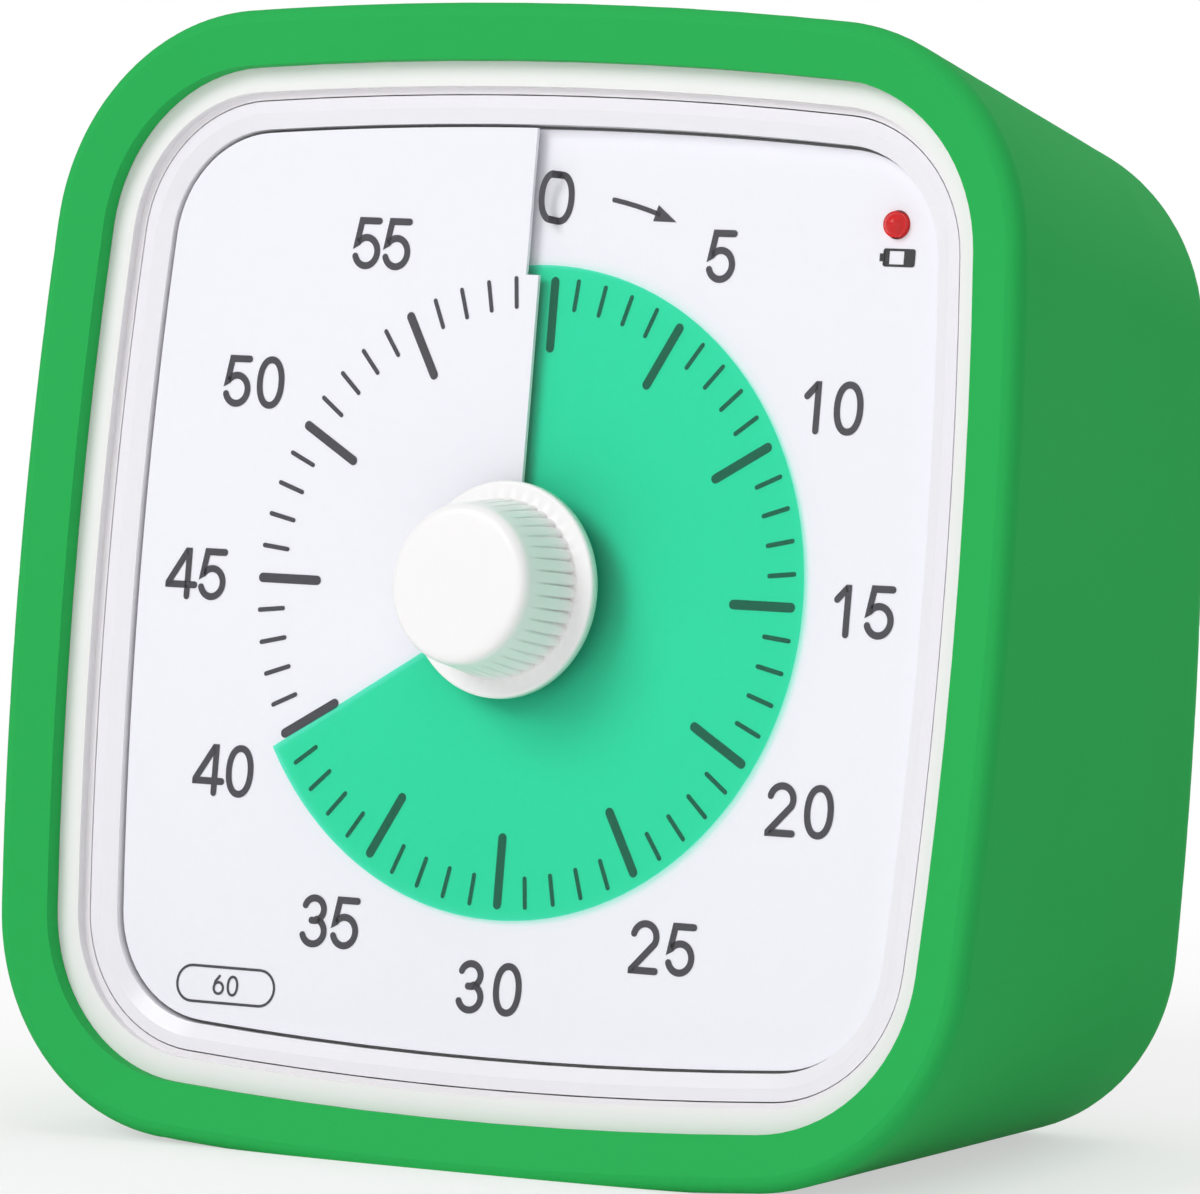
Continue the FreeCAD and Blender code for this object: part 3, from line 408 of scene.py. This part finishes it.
class Digits:
    """The dial's numerals as strokes about the middle of each digit, in millimetres."""

    WIDTH = 0.52

    @staticmethod
    def strokes(digit: str) -> list[list[Point]]:
        """The open strokes of a digit.

        Args:
            digit: One of 1 to 6.

        Returns:
            The strokes.
        """
        shapes: dict[str, list[list[Point]]] = {
            "1": [[(-0.9, 0.78), (-0.12, 1.6), (-0.02, 1.6), (-0.02, -1.68)]],
            "2": [[*arc((0.0, 0.72), (0.96, 0.96), 166, -28), (-0.96, -1.62), (-0.96, -1.67), (1.04, -1.67)]],
            "3": [[*arc((-0.02, 0.84), (0.84, 0.83), 160, -78), (-0.2, 0.04)],
                  arc((0.0, -0.75), (0.95, 0.93), 74, -160)],
            "4": [[(0.6, -1.68), (0.6, 1.62), (0.44, 1.62), (-1.1, -0.72), (-1.1, -0.84), (1.24, -0.84)]],
            "5": [[(0.98, 1.66), (-0.55, 1.66), (-0.86, 0.02),
                   *arc((-0.02, -0.6), (0.98, 1.04), 140, -160, 24)]],
        }
        return shapes[digit]

    @classmethod
    def draw(cls, ink: Print, digit: str, centre: Point, scale: float = 1.0) -> None:
        """Draws one digit.

        Args:
            ink: The print to add to.
            digit: The digit.
            centre: The middle of the digit.
            scale: Its size against the dial's numerals.
        """
        width = cls.WIDTH * scale
        if digit == "0":
            ring = [(centre[0] + x * scale, centre[1] + y * scale)
                    for x, y in cls.oval(0.96, 1.675)]
            ink.loop(ring, width)
            return
        for stroke in cls.strokes(digit):
            ink.stroke([(centre[0] + x * scale, centre[1] + y * scale) for x, y in stroke], width)

    @staticmethod
    def oval(half_width: float, half_height: float) -> list[Point]:
        """The middle line of the narrow zero.

        Args:
            half_width: Half its width.
            half_height: Half its height.

        Returns:
            The points round the line.
        """
        points = []
        for step in range(40):
            angle = 2 * math.pi * step / 40
            cos, sin = math.cos(angle), math.sin(angle)
            points.append((half_width * math.copysign(abs(cos) ** 0.92, cos),
                           half_height * math.copysign(abs(sin) ** 0.92, sin)))
        return points


# Sub-assemblies

@dataclass
class Cover:
    """The rubber cover."""

    finish: Finish = Finishes.cover

    def build(self) -> None:
        """Dresses the cover."""
        dress(self.finish, "silicone_cover")


@dataclass
class Case:
    """The white case with its window and the screws at its back."""

    def build(self) -> None:
        """Dresses the case's own nodes."""
        dress(Finishes.case, "front_housing", "rear_housing")
        dress(Finishes.ring, "dial_ring")
        dress(Finishes.window, "lens")
        dress(Finishes.steel, "case_screws")


@dataclass
class Dial:
    """The printed dial plate."""

    minute_inner: float = 20.5
    minute_outer: float = 22.9
    hour_inner: float = 17.4
    minute_width: float = 0.34
    hour_width: float = 0.7
    numeral_radius: float = 28.6
    zero_shift: float = 0.2
    zero_tick_shift: float = 0.35
    arrow_radius: float = 29.0
    sign_place: Point = (-23.0, -30.0)
    sign_width: float = 0.2
    sign_scale: float = 0.42
    battery_place: Point = (29.0, 25.1)
    digit_shifts: tuple[tuple[float, float], ...] = (
        (-1.40, 1.19), (-1.37, 1.28), (-1.64, 1.50), (-1.59, 1.46), (-1.73, 1.46),
        (-1.40, 1.33), (-1.28, 1.51), (-1.24, 1.55), (-1.42, 1.55), (-1.37, 1.28))

    def build(self) -> None:
        """Dresses the plate and prints it."""
        dress(Finishes.dial, "dial_plate")
        self.ticks()
        self.numerals()
        self.arrow()
        self.battery_sign()
        self.hour_sign()

    def ticks(self) -> None:
        """Prints the sixty minute marks."""
        ink = Print()
        for minute in range(60):
            angle = math.radians(6 * minute)
            long = minute % 5 == 0
            width = self.hour_width if long else self.minute_width
            inner = self.hour_inner if long else self.minute_inner
            trim = width / 2
            x_shift = self.zero_tick_shift if minute == 0 else 0.0
            path = []
            for radius in (inner + trim, self.minute_outer - trim):
                path.append((radius * math.sin(angle) + x_shift, radius * math.cos(angle)))
            ink.stroke(path, width)
        to_object("minute_marks", ink.mesh, Finishes.ink, Body.CASE)

    def numerals(self) -> None:
        """Prints the numerals from 0 to 55."""
        ink = Print()
        for mark in range(12):
            angle = math.radians(30 * mark)
            x, rise = self.numeral_radius * math.sin(angle), self.numeral_radius * math.cos(angle)
            text = str(5 * mark)
            if mark == 0:
                Digits.draw(ink, "0", (x + self.zero_shift, rise))
            elif len(text) == 1:
                Digits.draw(ink, text, (x, rise))
            else:
                for digit, shift in zip(text, self.digit_shifts[mark - 2]):
                    Digits.draw(ink, digit, (x + shift, rise))
        to_object("numerals", ink.mesh, Finishes.ink, Body.CASE)

    def arrow(self) -> None:
        """Prints the curved arrow beside the zero."""
        ink = Print()
        radius = self.arrow_radius
        path = [(radius * math.sin(math.radians(a)), radius * math.cos(math.radians(a)))
                for a in (9.6, 11.5, 13.5, 15.5, 17.5)]
        ink.stroke(path, 0.36)
        tip, root = math.radians(20.8), math.radians(17.0)
        wings = [(radius * math.sin(tip), radius * math.cos(tip))]
        for reach in (-0.62, 0.62):
            wings.append(((radius + reach) * math.sin(root), (radius + reach) * math.cos(root)))
        ink.fill(wings)
        to_object("arrow_mark", ink.mesh, Finishes.ink, Body.CASE)

    def battery_sign(self) -> None:
        """Prints the small battery sign under the light."""
        ink = Print()
        x, rise = self.battery_place
        ink.loop(self.box(x + 0.1, rise, 1.24, 0.56, 0.12), 0.18)
        for left, right, half_height in ((-1.5, -1.14, 0.28), (0.5, 1.3, 0.5), (-1.14, -0.7, 0.5)):
            low, high = rise - half_height, rise + half_height
            ink.fill([(x + left, low), (x + right, low), (x + right, high), (x + left, high)])
        to_object("battery_sign", ink.mesh, Finishes.dark_ink, Body.CASE)

    def hour_sign(self) -> None:
        """Prints the outlined hour sign at the lower left."""
        ink = Print()
        x, rise = self.sign_place
        ink.loop(self.box(x, rise, 4.3, 1.31, 1.3), self.sign_width)
        scale = self.sign_scale
        six = x - 0.62
        bowl = [(six + px * scale, rise - 0.22 + py * scale)
                for px, py in arc((0, 0), (0.98, 1.0), 0, 345, 23)]
        ink.loop(bowl, self.sign_width)
        stem = [(six - 0.4, rise - 0.2), (six - 0.3, rise + 0.25), (six + 0.05, rise + 0.66)]
        ink.stroke(stem, self.sign_width)
        zero = [(x + 0.62 + px * scale, rise + py * scale) for px, py in Digits.oval(0.98, 1.6)]
        ink.loop(zero, self.sign_width)
        to_object("hour_sign", ink.mesh, Finishes.ink, Body.CASE)

    @staticmethod
    def box(x: float, rise: float, half_width: float, half_height: float, corner: float) -> list[Point]:
        """The outline of a box with round corners.

        Args:
            x: The middle's place to the right.
            rise: The middle's height.
            half_width: Half its width.
            half_height: Half its height.
            corner: The radius of the corners.

        Returns:
            The points round the box.
        """
        points: list[Point] = []
        for sx, sy, start in ((1, 1, 90), (-1, 1, 180), (-1, -1, 270), (1, -1, 360)):
            centre = (x + sx * (half_width - corner), rise + sy * (half_height - corner))
            points += arc(centre, (corner, corner), start - 90, start, 6)
        return points


@dataclass
class Disc:
    """The green disc that shows the time left."""

    def build(self) -> None:
        """Dresses the disc and its hub."""
        dress(Finishes.disc, "countdown_disc")
        dress(Finishes.hub, "disc_hub")


@dataclass
class Knob:
    """The ribbed knob on its shaft, turned about the dial's axis, with sizes in millimetres."""

    front: float = 4.6
    face_radius: float = 5.85
    root_radius: float = 6.55
    edge_round: float = 0.9
    flange_front: float = 1.1
    flange_back: float = 1.95
    flange_radius: float = 7.85
    flange_round: float = 0.25
    ribs: int = 42
    valley_radius: float = 5.92
    land_height: float = 0.66
    steps_per_rib: int = 12

    def profile(self) -> list[tuple[float, float, bool]]:
        """The knob's outline from the face to the back.

        Returns:
            Rows of radius, depth and whether the ribs shape the row.
        """
        rows: list[tuple[float, float, bool]] = []
        for radius, swell in ((2.0, 0.02), (4.0, 0.01)):
            rows.append((radius, -self.front - swell, False))
        rounding = arc((self.face_radius - self.edge_round, self.front - self.edge_round),
                       (self.edge_round, self.edge_round), 90, 8, 8)
        rows += [(radius, -height, height < self.front - 0.4) for radius, height in rounding]
        start = rows[-1]
        for step in range(1, 13):
            share = step / 12
            rows.append((start[0] + (self.root_radius - start[0]) * share,
                         start[1] + (self.flange_front - 0.02 - start[1]) * share, True))
        last = self.flange_radius - self.flange_round
        rows += [(self.root_radius + 0.04, self.flange_front, False), (last, self.flange_front, False)]
        for radius, height in arc((last, -self.flange_front - self.flange_round),
                                  (self.flange_round, self.flange_round), 75, 0, 5):
            rows.append((radius, -height, False))
        rows += [(self.flange_radius, self.flange_back - 0.08, False), (last, self.flange_back, False),
                 (2.2, self.flange_back, False)]
        return rows

    def ribbed(self, radius: float, turn: float) -> float:
        """The radius at a turn, where round lands stand between the valleys.

        Args:
            radius: The radius without ribs.
            turn: The turn about the axis, in radians.

        Returns:
            The radius with ribs.
        """
        across = 2 * ((turn * self.ribs / (2 * math.pi)) % 1.0) - 1
        land = self.valley_radius + self.land_height * math.sqrt(max(0.0, 1 - across * across))
        return min(radius, land)

    def mesh(self) -> bmesh.types.BMesh:
        """The knob's closed mesh.

        Returns:
            The mesh in metres.
        """
        mesh = bmesh.new()
        around = self.ribs * self.steps_per_rib
        rows = []
        for radius, depth, shaped in self.profile():
            row = []
            for step in range(around):
                turn = 2 * math.pi * step / around
                reach = self.ribbed(radius, turn) if shaped else radius
                row.append(mesh.verts.new(FACE.at(reach * math.sin(turn), depth, reach * math.cos(turn))))
            rows.append(row)
        for first, second in zip(rows, rows[1:]):
            for step in range(around):
                other = (step + 1) % around
                mesh.faces.new([first[step], first[other], second[other], second[step]])
        for row in (rows[0], rows[-1]):
            mesh.faces.new(row)
        bmesh.ops.recalc_face_normals(mesh, faces=mesh.faces)
        for face in mesh.faces:
            face.smooth = len(face.verts) == 4
        return mesh

    def build(self) -> None:
        """Builds the knob and dresses its shaft."""
        knob = to_object("knob_cap", self.mesh(), Finishes.knob, Body.KNOB)
        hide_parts("knob")
        dress(Finishes.steel, "knob_shaft", "retaining_ring", "clutch_spring")


@dataclass
class Movement:
    """The gear train, its plates and its motor."""

    def build(self) -> None:
        """Dresses the movement."""
        dress(Finishes.carrier, "dial_carrier", "movement_front_plate", "movement_rear_plate")
        dress(Finishes.gear, "centre_wheel", "third_wheel", "fourth_wheel", "rotor_pinion")
        dress(Finishes.magnet, "rotor_magnet")
        dress(Finishes.brass, "movement_pillars", "shaft_bushes")
        dress(Finishes.steel, "movement_screws", "stator", "coil_core")
        dress(Finishes.black, "coil_bobbin")
        dress(Finishes.copper, "coil_winding")


@dataclass
class Electronics:
    """The board, the light, the buzzer and the volume switch."""

    def build(self) -> None:
        """Dresses the electronics."""
        dress(Finishes.light, "indicator_light")
        dress(Finishes.nickel, "light_leads", "quartz_crystal")
        dress(Finishes.sleeve, "light_wires")
        dress(Finishes.board, "circuit_board")
        dress(Finishes.black, "control_chip", "buzzer", "switch_body")
        dress(Finishes.grey, "volume_switch")


@dataclass
class Battery:
    """The cell, its contacts and the door."""

    def build(self) -> None:
        """Dresses the battery bay."""
        dress(Finishes.jacket, "cell")
        dress(Finishes.nickel, "contact_positive", "contact_negative", "contact_spring")
        dress(Finishes.case, "battery_door")


@dataclass
class Studio:
    """Floor, lights and camera."""

    camera_at: tuple[float, float, float] = (0.3816951, -0.5952604, 0.0970688)
    looks_at: tuple[float, float, float] = (0.0047, -0.0087, 0.0406)
    lens: float = 291.4
    roll: float = math.radians(0.3)
    floor_half: float = 4.0
    white_from: float = 0.03
    white_by: float = 0.16
    white_at_foot: float = 0.55
    sky_strength: float = 0.34

    def build(self) -> None:
        """Sets the stage."""
        self.floor()
        self.world()
        self.lamp("key_lamp", (-0.4, -0.8, 0.65), 0.5, 4.9)
        self.lamp("fill_lamp", (0.3, -1.0, 0.2), 0.8, 2.5)
        self.lamp("top_lamp", (0.1, 0.2, 0.95), 0.9, 2.8)
        self.lamp("back_lamp", (0.2, 0.95, 0.5), 0.8, 2.4)
        self.camera()

    def floor(self) -> None:
        """A pale floor that shows as white behind the timer."""
        mesh = bmesh.new()
        bmesh.ops.create_grid(mesh, x_segments=1, y_segments=1, size=self.floor_half)
        data = bpy.data.meshes.new("floor")
        mesh.to_mesh(data)
        mesh.free()
        data.materials.append(self.floor_material())
        floor = bpy.data.objects.new("floor", data)
        bpy.context.scene.collection.objects.link(floor)

    def floor_material(self) -> bpy.types.Material:
        """Pale paper that turns white away from the timer and keeps its shadow.

        Returns:
            The material.
        """
        made = bpy.data.materials.new("floor_white")
        made.use_nodes = True
        nodes, links = made.node_tree.nodes, made.node_tree.links
        shader = next(node for node in nodes if node.type == "BSDF_PRINCIPLED")
        outlet = next(node for node in nodes if node.type == "OUTPUT_MATERIAL")
        shader.inputs["Base Color"].default_value = (0.93, 0.93, 0.93, 1.0)
        shader.inputs["Roughness"].default_value = 0.9
        white = nodes.new("ShaderNodeEmission")
        white.inputs["Color"].default_value = (1.0, 1.0, 1.0, 1.0)
        place = nodes.new("ShaderNodeTexCoord")
        away = nodes.new("ShaderNodeVectorMath")
        away.operation = "LENGTH"
        links.new(place.outputs["Object"], away.inputs[0])
        fade = nodes.new("ShaderNodeMapRange")
        fade.inputs["From Min"].default_value = self.white_from
        fade.inputs["From Max"].default_value = self.white_by
        fade.inputs["To Min"].default_value = self.white_at_foot
        fade.inputs["To Max"].default_value = 1.0
        links.new(away.outputs["Value"], fade.inputs["Value"])
        path = nodes.new("ShaderNodeLightPath")
        seen = path.outputs["Is Camera Ray"]
        for other in ("Is Glossy Ray", "Is Transmission Ray"):
            either = nodes.new("ShaderNodeMath")
            either.operation = "MAXIMUM"
            links.new(seen, either.inputs[0])
            links.new(path.outputs[other], either.inputs[1])
            seen = either.outputs[0]
        share = nodes.new("ShaderNodeMath")
        share.operation = "MULTIPLY"
        links.new(seen, share.inputs[0])
        links.new(fade.outputs["Result"], share.inputs[1])
        mix = nodes.new("ShaderNodeMixShader")
        links.new(share.outputs[0], mix.inputs["Fac"])
        links.new(shader.outputs[0], mix.inputs[1])
        links.new(white.outputs[0], mix.inputs[2])
        links.new(mix.outputs[0], outlet.inputs["Surface"])
        return made

    def world(self) -> None:
        """An even sky that looks white to the camera."""
        world = bpy.data.worlds.new("studio")
        bpy.context.scene.world = world
        world.use_nodes = True
        nodes, links = world.node_tree.nodes, world.node_tree.links
        nodes.clear()
        outlet = nodes.new("ShaderNodeOutputWorld")
        soft = nodes.new("ShaderNodeBackground")
        soft.inputs["Color"].default_value = (1.0, 1.0, 1.0, 1.0)
        soft.inputs["Strength"].default_value = self.sky_strength
        seen = nodes.new("ShaderNodeBackground")
        seen.inputs["Color"].default_value = (1.0, 1.0, 1.0, 1.0)
        seen.inputs["Strength"].default_value = 1.0
        path = nodes.new("ShaderNodeLightPath")
        mix = nodes.new("ShaderNodeMixShader")
        links.new(path.outputs["Is Camera Ray"], mix.inputs["Fac"])
        links.new(soft.outputs[0], mix.inputs[1])
        links.new(seen.outputs[0], mix.inputs[2])
        links.new(mix.outputs[0], outlet.inputs["Surface"])

    def lamp(self, name: str, place: tuple[float, float, float], size: float, power: float) -> None:
        """A soft square lamp aimed at the timer.

        Args:
            name: The lamp's name.
            place: Where it stands, in metres.
            size: The side of the square.
            power: Its power in watts.
        """
        data = bpy.data.lights.new(name, "AREA")
        data.shape = "SQUARE"
        data.size = size
        data.energy = power
        lamp = bpy.data.objects.new(name, data)
        lamp.location = place
        lamp.rotation_euler = (Vector(place) - Vector((0.0, 0.0, 0.04))).to_track_quat("Z", "Y").to_euler()
        bpy.context.scene.collection.objects.link(lamp)

    def camera(self) -> None:
        """The camera at the photo's angle."""
        data = bpy.data.cameras.new("camera")
        data.lens = self.lens
        data.sensor_width = 36.0
        data.sensor_fit = "HORIZONTAL"
        data.clip_start, data.clip_end = 0.01, 20.0
        camera = bpy.data.objects.new("camera", data)
        camera.location = self.camera_at
        away = Vector(self.camera_at) - Vector(self.looks_at)
        turn = away.to_track_quat("Z", "Y").to_matrix() @ Matrix.Rotation(self.roll, 3, "Z")
        camera.rotation_euler = turn.to_euler()
        bpy.context.scene.collection.objects.link(camera)
        bpy.context.scene.camera = camera


def main() -> None:
    """Builds and dresses the timer, then sets the stage."""
    logging.basicConfig(level=logging.INFO, format="%(name)s: %(message)s")
    for part in (Cover(), Case(), Dial(), Disc(), Knob(), Movement(), Electronics(), Battery(), Studio()):
        part.build()
        LOG.info("built %s", type(part).__name__)
    bpy.context.scene.view_settings.view_transform = "Standard"


if __name__ == "__main__":
    main()
